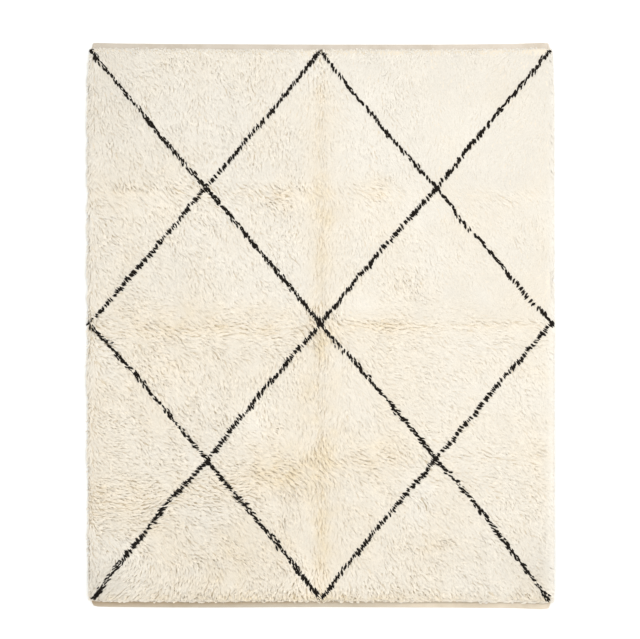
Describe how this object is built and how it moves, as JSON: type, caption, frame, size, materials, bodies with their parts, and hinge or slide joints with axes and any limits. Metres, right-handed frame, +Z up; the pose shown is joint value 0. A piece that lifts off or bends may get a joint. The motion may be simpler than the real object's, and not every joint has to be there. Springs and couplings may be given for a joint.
{
  "type": "hand-knotted pile rug",
  "caption": "Rectangular hand-knotted wool rug with a deep cream pile, thin dark lines crossing as a diamond lattice, and a short flatwoven band at each end; it lies flat on a floor.",
  "frame": {"origin": "middle of the box around the rug, on the face it lies on", "axes": "+X across the width, +Y along the length, +Z up out of the pile"},
  "size_m": [2.4999, 3.03, 0.0307],
  "materials": {
    "pile_cream": "undyed cream wool pile, long and plush, brushed in many directions",
    "pile_black": "warm black wool pile, the same length as the cream",
    "flatweave": "weft-faced wool flatweave, fine ribs across the rug"
  },
  "bodies": {
    "root": {"rug": "pile_cream"}
  },
  "joints": []
}
